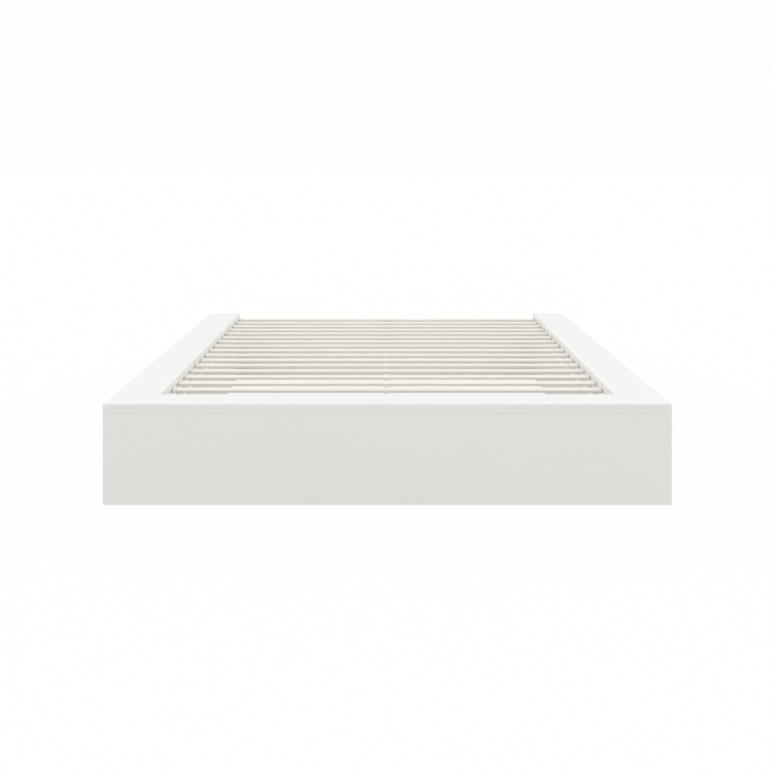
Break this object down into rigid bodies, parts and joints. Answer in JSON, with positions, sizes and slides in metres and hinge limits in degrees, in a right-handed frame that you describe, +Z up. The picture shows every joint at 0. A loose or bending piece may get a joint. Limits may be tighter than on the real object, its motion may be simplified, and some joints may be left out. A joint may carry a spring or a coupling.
{
  "type": "platform bed",
  "caption": "Low box platform bed with wide flat ledges on the sides and foot, a recessed slatted deck, and a legged middle beam.",
  "frame": {"origin": "on the floor, under the middle of the bed's footprint", "axes": "+X across the bed to the right as seen from the foot, +Y along the bed towards the head, +Z up"},
  "size_m": [1.862, 2.232, 0.333],
  "materials": {
    "white_board": "satin white foil on board",
    "raw_chipboard": "raw board",
    "painted_pine": "planed and painted white",
    "slat_birch": "sanded, unfinished",
    "galvanised_steel": "galvanised",
    "zinc_steel": "bright zinc plated",
    "slat_webbing": "woven tape",
    "dark_plastic": "moulded, fine texture",
    "pale_plastic": "moulded, smooth"
  },
  "bodies": {
    "bed_frame": {"left_outer_panel": "white_board", "left_inner_panel": "white_board", "left_ledge_board": "white_board", "left_end_cap": "white_board", "left_spacer_1": "raw_chipboard", "left_spacer_2": "raw_chipboard", "left_slat_ledger": "painted_pine", "left_slat_tape": "slat_webbing", "right_outer_panel": "white_board", "right_inner_panel": "white_board", "right_ledge_board": "white_board", "right_end_cap": "white_board", "right_spacer_1": "raw_chipboard", "right_spacer_2": "raw_chipboard", "right_slat_ledger": "painted_pine", "right_slat_tape": "slat_webbing", "foot_outer_panel": "white_board", "foot_inner_panel": "white_board", "foot_ledge_board": "white_board", "foot_spacer": "raw_chipboard", "head_panel": "white_board", "slat_01": "slat_birch", "slat_02": "slat_birch", "slat_03": "slat_birch", "slat_04": "slat_birch", "slat_05": "slat_birch", "slat_06": "slat_birch", "slat_07": "slat_birch", "slat_08": "slat_birch", "slat_09": "slat_birch", "slat_10": "slat_birch", "slat_11": "slat_birch", "slat_12": "slat_birch", "slat_13": "slat_birch", "slat_14": "slat_birch", "slat_15": "slat_birch", "slat_16": "slat_birch", "slat_17": "slat_birch", "midbeam_foot_half": "galvanised_steel", "midbeam_head_half": "galvanised_steel", "midbeam_foot_hanger": "galvanised_steel", "midbeam_head_hanger": "galvanised_steel", "midbeam_foot_bolt": "zinc_steel", "midbeam_foot_nut": "zinc_steel", "midbeam_head_bolt": "zinc_steel", "midbeam_head_nut": "zinc_steel", "midbeam_leg": "galvanised_steel", "leg_plug": "dark_plastic", "foot_left_angle": "zinc_steel", "head_left_angle": "zinc_steel", "foot_right_angle": "zinc_steel", "head_right_angle": "zinc_steel", "left_foot_glide": "pale_plastic", "left_middle_glide": "pale_plastic", "left_head_glide": "pale_plastic", "right_foot_glide": "pale_plastic", "right_middle_glide": "pale_plastic", "right_head_glide": "pale_plastic"},
    "levelling_foot": {"levelling_foot": "dark_plastic"}
  },
  "joints": [
    {"name": "levelling_foot_travel", "type": "slide", "parent": "bed_frame", "child": "levelling_foot", "axis": [0, 0, -1], "range_m": [-0.012, 0.015]}
  ]
}
